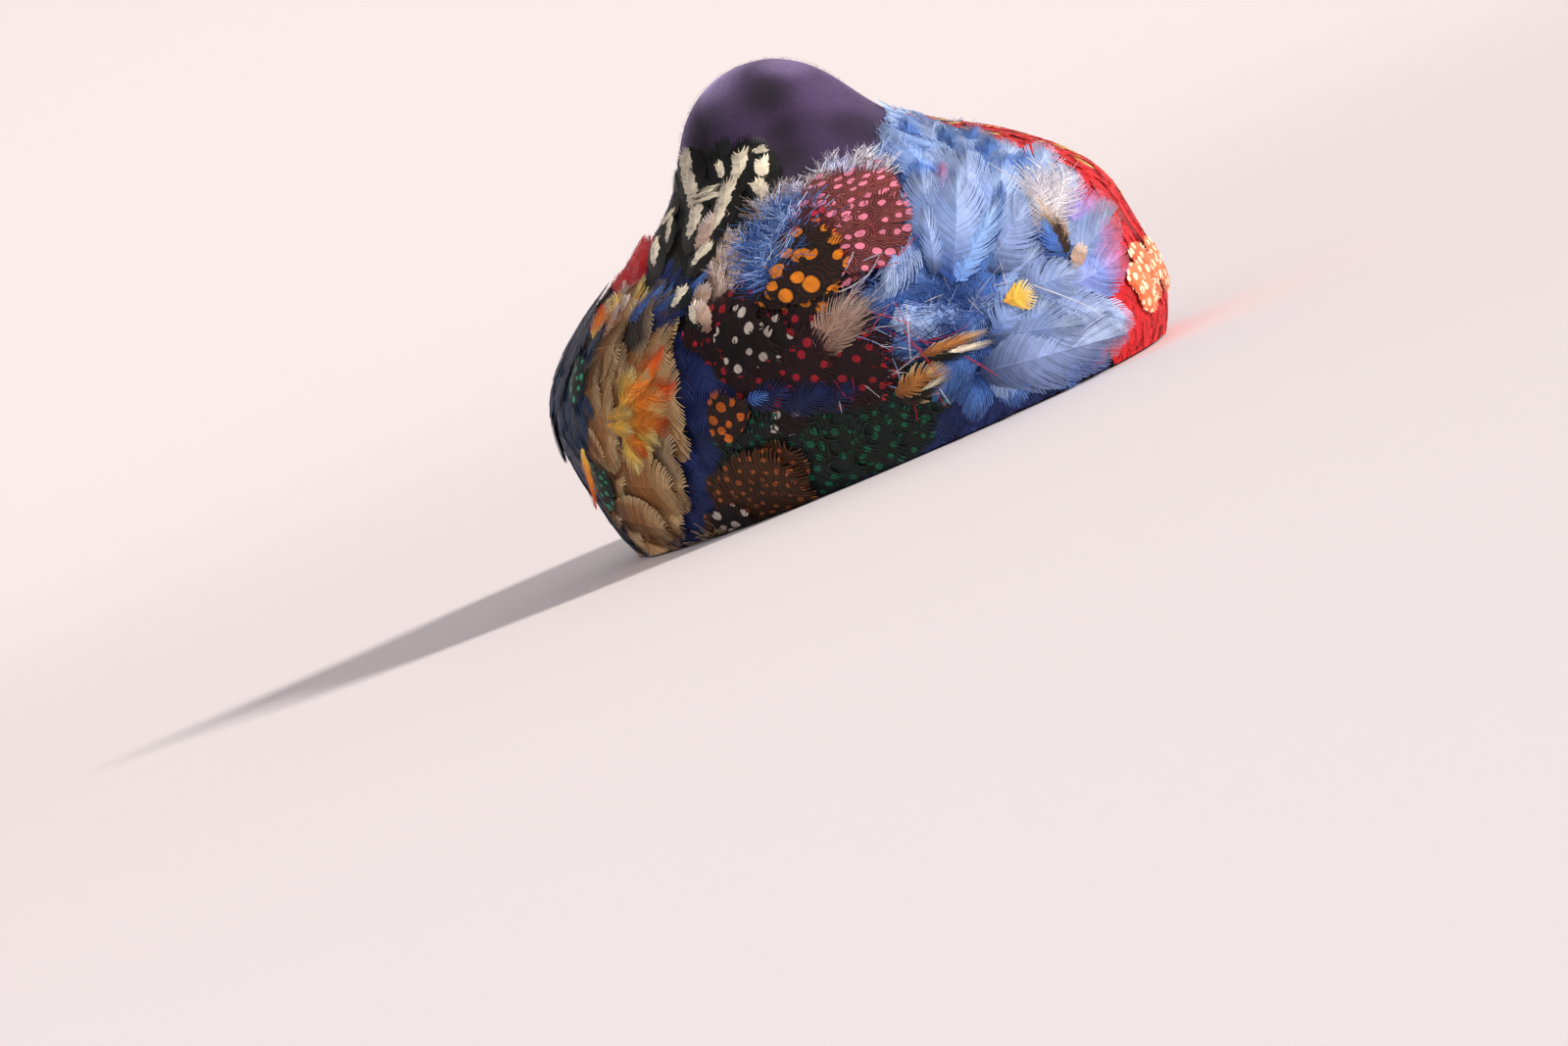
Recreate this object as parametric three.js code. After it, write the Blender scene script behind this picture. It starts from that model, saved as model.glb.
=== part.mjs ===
// A brimless feather hat: a moulded felt crown with a bare rounded top, covered down its sides with
// pasted patches of dyed feathers on a navy ground. Each patch is one pad of overlapping feathers
// whose tips make its notched outline, and higher patches lap over lower ones.
// Millimetres, +Z up, the front of the hat towards -Y and the wearer's right towards -X.
// The origin is at the middle of the rim, on the surface that the hat rests on.

import * as THREE from 'three';
import { ParametricGeometry } from 'three/addons/geometries/ParametricGeometry.js';

// Felt crown
const FELT_THICKNESS = 2;
const CROWN_AROUND = 40;
const CROWN_ROWS = 18;

// Reach of the felt from the hat's axis to the front, back and sides, from the rim to the top.
const CROWN_SECTIONS = [
  { height: 0, front: 84, back: 82, side: 77.5 },
  { height: 9, front: 88.8, back: 86, side: 81.6 },
  { height: 20, front: 91.2, back: 88.4, side: 84.2 },
  { height: 32, front: 89.8, back: 90.8, side: 85.4 },
  { height: 43, front: 88.3, back: 91.2, side: 85.2 },
  { height: 53, front: 84.6, back: 88, side: 81.8 },
  { height: 62, front: 77.4, back: 80.4, side: 75 },
  { height: 70, front: 68.2, back: 70.4, side: 66 },
  { height: 77, front: 58.5, back: 59.3, side: 56 },
  { height: 84, front: 48.5, back: 46.8, side: 46 },
  { height: 91, front: 39.6, back: 36.8, side: 37.4 },
  { height: 98, front: 32.8, back: 30.6, side: 31.2 },
  { height: 105, front: 28.6, back: 26.6, side: 27.4 },
  { height: 111, front: 24.8, back: 23.4, side: 24 },
  { height: 116, front: 20.4, back: 19.2, side: 19.7 },
  { height: 120, front: 14.3, back: 13.4, side: 13.8 },
  { height: 122.8, front: 7.4, back: 6.8, side: 7.1 },
  { height: 123.6, front: 0, back: 0, side: 0 },
];

// Soft dents in the bare top: a dimple near the tip, and the pinch that runs down from it.
const CROWN_DENTS = [
  { turn: 88, climb: 149, depth: 2.6, halfWidth: 7, halfHeight: 6 },
  { turn: 66, climb: 128, depth: 2.4, halfWidth: 5, halfHeight: 16 },
  { turn: -75, climb: 132, depth: 1.6, halfWidth: 6, halfHeight: 14 },
];

// Layers of feathers over the felt: each begins a gap above the one beneath it.
const LAYER_GAP = 0.7;
const LAYER_THICKNESS = 0.9;
const LAYER_STEP = LAYER_GAP + LAYER_THICKNESS;
const RIM_CLEARANCE = 0.8;

// Navy ground, a ring of short feathers from the rim to the bare top, with rows level with the felt's
const GROUND_LOW = 3;
const GROUND_ROWS = 12;
const GROUND_TIP = 4;

// Spacing of the rings in a patch, the corners drawn for each feather tip, and how much thinner a
// patch is between two tips, as a share of its thickness
const RING_SPACING = 12;
const CORNERS_PER_TIP = 3;
const VALLEY_DEPTH = 0.3;

const COLOURS = {
  plum: 0x3b2740, navy: 0x222a55, blue: 0x5f86cf, down: 0x34528f, red: 0xc8202b, scarlet: 0xa81f24,
  pink: 0x7d3a45, orange: 0x8a4a14, crimson: 0x4a1218, green: 0x123b32, rust: 0x5a2f12,
  cream: 0x8f8468, tan: 0xa9794a, teal: 0x24365c,
};

// One row for each patch, or for a pair of them where it is paired: one on the right and its mirror
// image on the left. turn: degrees from the front round to the wearer's right. climb: its middle, in
// mm up the felt from the rim. along and across: half sizes in the direction of the tips and across
// it. lean: degrees that the tips point from straight down towards the front. notch: how deep the
// gaps between tips cut in, as a share of the half size. layer: its height over the felt.
const PATCHES = [
  { name: 'red_front', colour: 'red', tips: 9, notch: 0.14, layer: 1,
    turn: 0, climb: 40, along: 35, across: 23, lean: 0 },
  { name: 'red_top', colour: 'scarlet', tips: 6, notch: 0.2, layer: 3,
    turn: -14, climb: 84, along: 24, across: 14, lean: 0 },
  { name: 'teal_back', colour: 'teal', tips: 9, notch: 0.1, layer: 1,
    turn: 161, climb: 42, along: 35, across: 36, lean: 0 },
  { name: 'green_back', colour: 'green', tips: 9, notch: 0.12, layer: 1,
    turn: -160, climb: 36, along: 32, across: 21, lean: 0 },
  { name: 'blue', colour: 'blue', tips: 13, notch: 0.2, layer: 2, paired: true,
    turn: 39, climb: 56, along: 52, across: 43, lean: 40 },
  { name: 'pink_spot', colour: 'pink', tips: 7, notch: 0.12, layer: 3, paired: true,
    turn: 54, climb: 73, along: 20, across: 15, lean: 55 },
  { name: 'orange_spot', colour: 'orange', tips: 7, notch: 0.12, layer: 3, paired: true,
    turn: 76, climb: 57, along: 14, across: 12, lean: 20 },
  { name: 'red_spot', colour: 'crimson', tips: 8, notch: 0.14, layer: 2, paired: true,
    turn: 82, climb: 42, along: 17, across: 20, lean: 0 },
  { name: 'green_spot', colour: 'green', tips: 9, notch: 0.12, layer: 1, paired: true,
    turn: 73, climb: 15, along: 12.5, across: 25, lean: 0 },
  { name: 'brown_spot', colour: 'rust', tips: 7, notch: 0.12, layer: 2, paired: true,
    turn: 98, climb: 15, along: 13, across: 12, lean: 0 },
  { name: 'blue_down', colour: 'down', tips: 7, notch: 0.18, layer: 1, paired: true,
    turn: 79, climb: 79, along: 15, across: 12, lean: 20 },
  { name: 'black_cream', colour: 'cream', tips: 9, notch: 0.16, layer: 2, paired: true,
    turn: 105, climb: 98, along: 36, across: 22, lean: -15 },
  { name: 'tan_fan', colour: 'tan', tips: 9, notch: 0.16, layer: 1, paired: true,
    turn: 119, climb: 42, along: 37, across: 22, lean: 15 },
  { name: 'red_back', colour: 'scarlet', tips: 7, notch: 0.16, layer: 1, paired: true,
    turn: 153, climb: 95, along: 17, across: 14, lean: 0 },
];

// Profiles of the felt, from the rim to the top, as curves that share one parameter
const profileOf = (column) => new THREE.CatmullRomCurve3(
  CROWN_SECTIONS.map((row) => new THREE.Vector3(row[column], 0, row.height)), false, 'catmullrom');
const PROFILES = { front: profileOf('front'), back: profileOf('back'), side: profileOf('side') };
const CROWN_CLIMB = PROFILES.side.getLength();

const radians = THREE.MathUtils.degToRad;

/** How far the felt is pressed in at an angle (radians) and a climb (mm up the felt). */
function dentAt(angle, climb, reach) {
  let depth = 0;
  for (const dent of CROWN_DENTS) {
    const swing = Math.atan2(Math.sin(angle - radians(dent.turn)), Math.cos(angle - radians(dent.turn)));
    const sideways = swing * reach / dent.halfWidth;
    const upward = (climb - dent.climb) / dent.halfHeight;
    depth += dent.depth * Math.exp(-(sideways * sideways + upward * upward));
  }
  return depth;
}

/** A point of the felt's outer face, before its dents. */
function facePoint(angle, climb) {
  const t = PROFILES.side.getUtoTmapping(0, THREE.MathUtils.clamp(climb, 0, CROWN_CLIMB));
  const side = PROFILES.side.getPoint(t);
  const ahead = Math.cos(angle) > 0 ? PROFILES.front.getPoint(t) : PROFILES.back.getPoint(t);
  return new THREE.Vector3(-Math.sin(angle) * side.x, -Math.cos(angle) * ahead.x, side.z);
}

/** Half the width of the felt at a climb, which turns millimetres round the hat into an angle. */
function reachAt(climb) {
  const t = PROFILES.side.getUtoTmapping(0, THREE.MathUtils.clamp(climb, 0, CROWN_CLIMB));
  return PROFILES.side.getPoint(t).x;
}

/** The outward normal of the felt's outer face. */
function faceNormal(angle, climb) {
  const swing = 0.01;
  const rise = 0.2;
  if (climb > CROWN_CLIMB - rise) {
    return new THREE.Vector3(0, 0, 1);
  }
  const safe = Math.max(climb, rise);
  const around = facePoint(angle + swing, safe).sub(facePoint(angle - swing, safe));
  const up = facePoint(angle, safe + rise).sub(facePoint(angle, safe - rise));
  return up.cross(around).normalize();
}

/** A point at a height over the felt's outer face, or below it where the height is negative. */
function overFelt(angle, climb, height) {
  const press = dentAt(angle, climb, reachAt(climb));
  return facePoint(angle, climb).addScaledVector(faceNormal(angle, climb), height - press);
}

/** The felt crown as one wall: up inside from the rim to the top, and down its outer face. */
function crownWall(u, v, target) {
  const angle = -2 * Math.PI * u;
  const row = v * (2 * CROWN_ROWS + 1);
  const climbOf = (share) => CROWN_CLIMB * THREE.MathUtils.clamp(share, 0, 1);
  const outer = overFelt(angle, climbOf((row - CROWN_ROWS - 1) / CROWN_ROWS), 0);
  const inner = overFelt(angle, climbOf(1 - row / CROWN_ROWS), -FELT_THICKNESS);
  const across = THREE.MathUtils.clamp(row - CROWN_ROWS, 0, 1);
  if (row >= CROWN_ROWS && row <= CROWN_ROWS + 1) {
    inner.z = 0;
  }
  target.lerpVectors(inner, outer, across);
}

/** The navy ground: a ring of short feathers round the felt, with tips along its upper edge. */
function groundRing(u, v, target) {
  const angle = -2 * Math.PI * u;
  const tip = GROUND_TIP * Math.abs(Math.sin(CROWN_AROUND * angle / 4));
  const row = v * (2 * GROUND_ROWS + 2);
  const rowUp = THREE.MathUtils.clamp(Math.min(row, 2 * GROUND_ROWS + 1 - row), 0, GROUND_ROWS);
  const level = CROWN_CLIMB * rowUp / CROWN_ROWS;
  const climb = Math.max(level - tip * THREE.MathUtils.clamp(rowUp - GROUND_ROWS + 1, 0, 1), GROUND_LOW);
  const outward = row <= GROUND_ROWS + 0.5
    ? 1 - THREE.MathUtils.clamp(row - GROUND_ROWS, 0, 1)
    : THREE.MathUtils.clamp(row - 2 * GROUND_ROWS - 1, 0, 1);
  target.copy(overFelt(angle, climb, LAYER_GAP + LAYER_THICKNESS * outward));
}

/** The share of a patch's half size that its outline reaches in one direction, with its tips. */
function outlineShare(patch, direction) {
  const wave = Math.abs(Math.sin(patch.tips * direction / 2));
  const towardsTips = 0.5 + 0.5 * Math.cos(direction);
  const notch = patch.notch * (0.4 + 0.6 * towardsTips);
  return 1 - notch * (1 - Math.sqrt(wave));
}

/** One pad of feathers: its under face from the middle out, its edge, and its upper face back in. */
function patchPad(patch, rings, sign) {
  const below = LAYER_GAP + LAYER_STEP * patch.layer;
  const lean = radians(patch.lean);
  return (u, v, target) => {
    const direction = 2 * Math.PI * u * sign;
    const row = v * (2 * rings + 1);
    const ring = Math.min(row, rings, 2 * rings + 1 - row) / rings;
    const upper = THREE.MathUtils.clamp(row - rings, 0, 1);
    const reach = ring * outlineShare(patch, direction);
    const along = reach * patch.along * Math.cos(direction);
    const across = reach * patch.across * Math.sin(direction);
    const rise = -along * Math.cos(lean) + across * Math.sin(lean);
    const forward = along * Math.sin(lean) + across * Math.cos(lean);
    const climb = Math.max(patch.climb + rise, GROUND_LOW);
    const angle = sign * (radians(patch.turn) - forward / reachAt(climb));
    const crest = 1 - VALLEY_DEPTH * ring * (1 - Math.abs(Math.sin(patch.tips * direction / 2)));
    target.copy(overFelt(angle, climb, below + upper * LAYER_THICKNESS * crest));
    target.z = Math.max(target.z, RIM_CLEARANCE);
  };
}

function namedMesh(name, geometry, colour, roughness) {
  const material = new THREE.MeshStandardMaterial({ color: COLOURS[colour], roughness, metalness: 0 });
  const mesh = new THREE.Mesh(geometry, material);
  mesh.name = name;
  return mesh;
}

const hat = new THREE.Group();
hat.name = 'feather_hat';
hat.add(namedMesh('felt_crown',
  new ParametricGeometry(crownWall, CROWN_AROUND, 2 * CROWN_ROWS + 1), 'plum', 0.9));
hat.add(namedMesh('navy_ground_feathers',
  new ParametricGeometry(groundRing, CROWN_AROUND, 2 * GROUND_ROWS + 2), 'navy', 0.7));
for (const patch of PATCHES) {
  const rings = Math.max(2, Math.round(Math.max(patch.along, patch.across) / RING_SPACING));
  const corners = CORNERS_PER_TIP * patch.tips;
  const sides = patch.paired ? { _right: 1, _left: -1 } : { '': 1 };
  for (const [side, sign] of Object.entries(sides)) {
    const geometry = new ParametricGeometry(patchPad(patch, rings, sign), corners, 2 * rings + 1);
    hat.add(namedMesh(`${patch.name}${side}_feathers`, geometry, patch.colour, 0.65));
  }
}

export default hat;
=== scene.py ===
# %% [markdown]
# # A feather hat
# This lesson dresses a small felt hat in dyed feathers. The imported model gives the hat's true sizes: a
# hollow felt crown, a ring of navy feathers round it, and patches of other feathers pasted over the ring.
# Each of those solids is replaced here by a piece with real feathers in it, and nothing is moved.

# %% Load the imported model
import math

import bmesh
import bpy
import numpy as np
from mathutils import Matrix, Vector


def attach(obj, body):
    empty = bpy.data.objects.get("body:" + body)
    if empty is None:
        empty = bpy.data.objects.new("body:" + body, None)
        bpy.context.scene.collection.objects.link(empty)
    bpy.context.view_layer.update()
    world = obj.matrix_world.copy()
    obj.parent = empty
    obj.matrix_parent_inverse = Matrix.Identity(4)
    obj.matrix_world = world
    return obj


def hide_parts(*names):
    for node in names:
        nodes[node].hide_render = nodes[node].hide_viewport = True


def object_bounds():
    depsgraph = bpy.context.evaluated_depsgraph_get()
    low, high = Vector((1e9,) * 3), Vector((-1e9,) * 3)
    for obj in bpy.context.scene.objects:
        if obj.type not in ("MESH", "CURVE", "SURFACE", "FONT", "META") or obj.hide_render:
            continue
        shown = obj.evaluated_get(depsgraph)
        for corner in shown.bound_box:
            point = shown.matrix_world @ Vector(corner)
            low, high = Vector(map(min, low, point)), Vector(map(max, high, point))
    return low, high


MM = 0.001
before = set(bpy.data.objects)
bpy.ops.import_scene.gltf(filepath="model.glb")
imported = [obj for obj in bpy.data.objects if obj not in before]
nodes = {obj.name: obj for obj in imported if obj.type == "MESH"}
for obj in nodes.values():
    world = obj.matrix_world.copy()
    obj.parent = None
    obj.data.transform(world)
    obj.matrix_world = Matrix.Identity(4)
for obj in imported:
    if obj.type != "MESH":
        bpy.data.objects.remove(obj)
cad_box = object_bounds()
cad_size = [round((high - low) / MM, 1) for low, high in zip(*cad_box)]
print("loaded", len(nodes), "nodes in a box of", cad_size, "mm")

# %% [markdown]
# ## The camera
# A hat is recognised by its outline, so the camera comes first. It looks at the hat's right side from a
# little in front, just above the rim, and it is rolled, because such a hat is worn at a tilt. The scale at
# the hat and one known pixel, the middle of the rim, then fix where the camera stands.

# %% Place the camera
IMAGE_WIDTH, IMAGE_HEIGHT = 1600, 1067
PIXELS_PER_MM = 3.4
RIM_MIDDLE_PIXEL = (917, 455)
VIEW_TURN = math.radians(-68)
VIEW_RISE = math.radians(4)
VIEW_ROLL = math.radians(23.3)
VIEW_DISTANCE = 1.35
SENSOR_MM = 36

forward = -Vector((math.sin(VIEW_TURN) * math.cos(VIEW_RISE),
                   -math.cos(VIEW_TURN) * math.cos(VIEW_RISE), math.sin(VIEW_RISE)))
level = forward.cross(Vector((0, 0, 1))).normalized()
upright = level.cross(forward)
view_right = level * math.cos(VIEW_ROLL) - upright * math.sin(VIEW_ROLL)
view_up = level * math.sin(VIEW_ROLL) + upright * math.cos(VIEW_ROLL)
aside = (RIM_MIDDLE_PIXEL[0] - IMAGE_WIDTH / 2) / PIXELS_PER_MM * MM
above = (IMAGE_HEIGHT / 2 - RIM_MIDDLE_PIXEL[1]) / PIXELS_PER_MM * MM
eye = -(view_right * aside + view_up * above + forward * VIEW_DISTANCE)

camera = bpy.data.objects.new("camera", bpy.data.cameras.new("camera"))
camera.data.sensor_width = SENSOR_MM
camera.data.lens = SENSOR_MM * PIXELS_PER_MM / MM * VIEW_DISTANCE / IMAGE_WIDTH
turned = Matrix((view_right, view_up, -forward)).transposed().to_4x4()
camera.matrix_world = Matrix.Translation(eye) @ turned
bpy.context.scene.collection.objects.link(camera)
bpy.context.scene.camera = camera
print("camera with a lens of", round(camera.data.lens), "mm, at a height of", round(eye.z / MM), "mm")

# %% [markdown]
# ## A map of the felt
# Feathers lie on the felt, so every feather needs to know where the felt is. A point of it is named by its
# turn, the angle from the front round to the hat's right, and its climb, the millimetres up the felt from
# the rim. The solid's outer corners are a grid in just these two directions. They could be used as they
# are, but a smooth curve through them hides the flat facets.

# %% Read the corners of the felt's outer face
FELT_COLUMNS = 40
FELT_ROWS = 18
HAT_OVAL = 0.94
MIDDLE_OF_HOLLOW = Vector((0, 0, 40 * MM))
MERGE_GAP = 0.01 * MM
TIP_RADIUS = 0.5 * MM

shell = bmesh.new()
shell.from_mesh(nodes["felt_crown"].data)
bmesh.ops.remove_doubles(shell, verts=shell.verts, dist=MERGE_GAP)
shell.normal_update()
columns = [[] for _ in range(FELT_COLUMNS)]
for corner in shell.verts:
    outward = corner.co - MIDDLE_OF_HOLLOW
    if corner.normal.dot(outward) > 0 and corner.co.xy.length > TIP_RADIUS:
        turn = math.atan2(-corner.co.x / HAT_OVAL, -corner.co.y)
        columns[round(turn / math.tau * FELT_COLUMNS) % FELT_COLUMNS].append(corner.co.copy())
tip_of_hat = Vector((0, 0, max(corner.co.z for corner in shell.verts)))
shell.free()
for column in columns:
    column.sort(key=lambda point: math.atan2(point.z - MIDDLE_OF_HOLLOW.z, point.xy.length))
    column.append(tip_of_hat)
grid = np.array([[point[:] for point in column] for column in columns])
print("felt corners round and up:", grid.shape)


# %% Draw a smooth surface through the corners
TURN_STEPS = 720
CLIMB_STEP = 0.5 * MM
LEAST_REACH = 4 * MM
NEVER_ZERO = 1e-12


def smooth_weights(share):
    """Catmull-Rom weights of four neighbouring corners, for a place between the middle two."""
    a, b, c = share, share**2, share**3
    return 0.5 * np.stack([2 * b - a - c, 2 - 5 * b + 3 * c, a + 4 * b - 3 * c, c - b], axis=-1)


side_column = grid[FELT_COLUMNS // 4]
FELT_CLIMB = np.linalg.norm(np.diff(side_column, axis=0), axis=1).sum()
over_the_tip = np.roll(grid[:, -2:-1], FELT_COLUMNS // 2, axis=0)
under_the_rim = 2 * grid[:, :1] - grid[:, 1:2]
padded_grid = np.concatenate([under_the_rim, grid, over_the_tip], axis=1)

rows = np.arange(0, FELT_CLIMB, CLIMB_STEP) / FELT_CLIMB * FELT_ROWS
first = np.minimum(rows.astype(int), FELT_ROWS - 1)
weights = smooth_weights(rows - first)
upward = sum(padded_grid[:, first + n] * weights[None, :, n, None] for n in range(4))
turns = np.arange(TURN_STEPS) / TURN_STEPS * FELT_COLUMNS
first = turns.astype(int)
weights = smooth_weights(turns - first)
felt_points = sum(upward[(first + n - 1) % FELT_COLUMNS] * weights[:, None, n, None] for n in range(4))

around = np.roll(felt_points, -1, axis=0) - np.roll(felt_points, 1, axis=0)
felt_normals = np.cross(np.gradient(felt_points, axis=1), around)
felt_normals /= np.linalg.norm(felt_normals, axis=-1, keepdims=True) + NEVER_ZERO
felt_reach = np.maximum(np.linalg.norm(felt_points[TURN_STEPS // 4, :, :2], axis=1), LEAST_REACH)
print("felt climbs", round(FELT_CLIMB / MM, 1), "mm from the rim to the tip")


# %% Find places on the felt
LOWEST_CLIMB = 1.2 * MM
HIGHEST_CLIMB = (felt_points.shape[1] - 1.01) * CLIMB_STEP
LOWEST_POINT = 0.5 * MM


def reach_at(climb):
    """Half the hat's width at a climb, which turns millimetres round the hat into an angle."""
    return np.interp(climb, np.arange(len(felt_reach)) * CLIMB_STEP, felt_reach)


def over_felt(turn, climb, height):
    """Points at a height over the felt, for arrays of turns (radians) and climbs (metres)."""
    across = np.mod(turn, math.tau) / math.tau * TURN_STEPS
    up = np.clip(climb, LOWEST_CLIMB, HIGHEST_CLIMB) / CLIMB_STEP
    i, j = across.astype(int) % TURN_STEPS, up.astype(int)
    share_i, share_j = (across - np.floor(across))[..., None], (up - j)[..., None]

    def between(values):
        low = values[i, j] * (1 - share_i) + values[(i + 1) % TURN_STEPS, j] * share_i
        high = values[i, j + 1] * (1 - share_i) + values[(i + 1) % TURN_STEPS, j + 1] * share_i
        return low * (1 - share_j) + high * share_j

    points = between(felt_points) + between(felt_normals) * np.asarray(height)[..., None]
    points[..., 2] = np.maximum(points[..., 2], LOWEST_POINT)
    return points


print("places go up to a climb of", round(HIGHEST_CLIMB / MM, 1), "mm")

# %% Find the felt behind a pixel
OUT_OF_SIGHT = 1e9

seen_from_eye = felt_points - np.array(eye)
depth = seen_from_eye @ np.array(forward)
focal_pixels = PIXELS_PER_MM / MM * VIEW_DISTANCE
pixel_x = IMAGE_WIDTH / 2 + seen_from_eye @ np.array(view_right) / depth * focal_pixels
pixel_y = IMAGE_HEIGHT / 2 - seen_from_eye @ np.array(view_up) / depth * focal_pixels
faces_away = np.einsum("ijk,ijk->ij", felt_normals, seen_from_eye) > 0


def at_pixel(x, y):
    """The turn and climb of the felt that the camera sees at a pixel, or of the nearest felt in sight."""
    gap = (pixel_x - x)**2 + (pixel_y - y)**2 + np.where(faces_away, OUT_OF_SIGHT, 0)
    i, j = np.unravel_index(np.argmin(gap), gap.shape)
    turn = i / TURN_STEPS * math.tau
    return (turn if turn < math.pi else turn - math.tau), j * CLIMB_STEP


print("the middle of the picture's rim is at", [round(v, 3) for v in at_pixel(*RIM_MIDDLE_PIXEL)])

# %% [markdown]
# ## Colours and nodes
# Colours are written as they look on a screen, in hex. Shaders work with linear light, so one function
# converts them. One more function adds a node with its settings and links, which keeps each finish short
# enough to read.


# %% Colour and node helpers
def linear(hex_colour):
    """A screen colour such as "6e93da" as linear light, by the sRGB standard's own curve."""
    parts = [int(hex_colour[n:n + 2], 16) / 255 for n in (0, 2, 4)]
    return tuple(c / 12.92 if c <= 0.04045 else ((c + 0.055) / 1.055)**2.4 for c in parts) + (1.0,)


def add(material, kind, inputs=None, **settings):
    """Adds one node. An input is a number, a colour, a socket, or a node for its first output in use."""
    node = material.node_tree.nodes.new("ShaderNode" + kind)
    for name, value in settings.items():
        setattr(node, name, value)
    for name, value in (inputs or {}).items():
        if isinstance(value, bpy.types.Node):
            value = next(socket for socket in value.outputs if socket.enabled)
        if isinstance(value, bpy.types.NodeSocket):
            material.node_tree.links.new(value, node.inputs[name])
        else:
            node.inputs[name].default_value = value
    return node


def new_finish(name, **surface):
    """A material with only its shader and output, and constant values set on the shader's own sockets."""
    material = bpy.data.materials.new(name)
    material.use_nodes = True
    material.node_tree.nodes.clear()
    shader = add(material, "BsdfPrincipled", {key.replace("_", " "): value for key, value in surface.items()})
    add(material, "OutputMaterial", {"Surface": shader})
    return material, shader


print("helpers ready")

# %% [markdown]
# ## Feather finishes
# A feather's vane is made of barbs, fine threads that lie side by side, so its colour runs from the root to
# the tip and breaks into lines along the barbs. It has a faint satin gloss, and dyed goose also glows a
# little at its edges. Each feather carries its own measures as attributes: "vane" holds how far a point is
# across and along it and a number for its barb, "place" holds the same in millimetres, and "tone" holds
# numbers for the whole feather. A picture could be wrapped on instead, but dyed spots drawn from the
# millimetres keep their size on any feather.

# %% The finish of a dyed feather
FEATHER_ROUGHNESS = 0.5
FEATHER_GLOSS = 0.25
SHEEN_ROUGHNESS = 0.4
PATCHY_MM = 2.5
SPOT_SLANT = math.radians(38)
# Where one colour gives way to another: along a feather from 0 at its root to 1 at its tip, and over a spot
# or a mark from 0 at its middle to 1 at its rim.
# A feather takes its root colour towards its root: partly its own base colour and partly painted shade under
# the feathers that overlap it.
ROOT_AND_SHADE_FADE, TIP_FADE, EDGE_FADE = (0.4, 0.05), (0.6, 1.0), (0.6, 0.95)
SPOT_FADE, MARK_FADE, RING_FADE, WHOLE = (1.1, 0.9), (1.0, 0.85), (1.1, 1.5), (0.0, 1.0)
RING_WAVES = 9.0
# A value's factor and what is added to it, for the sizes of spots, the slanting oval of a mark with its
# ragged rim, and the light of barbs and of small patches.
SPOT_SIZES = (0.5, 0.72)
MARK_SLANT, MARK_CENTRE, MARK_RAGGED = (1.4, -1.1), (2.4, -1.85), (2.4, -1.2)
MARK_NARROW = 1.9
BARB_LIGHT, PATCHY_LIGHT = (0.4, 0.76), (0.6, 0.7)
FEATHER_LIGHT = 0.98


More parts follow.
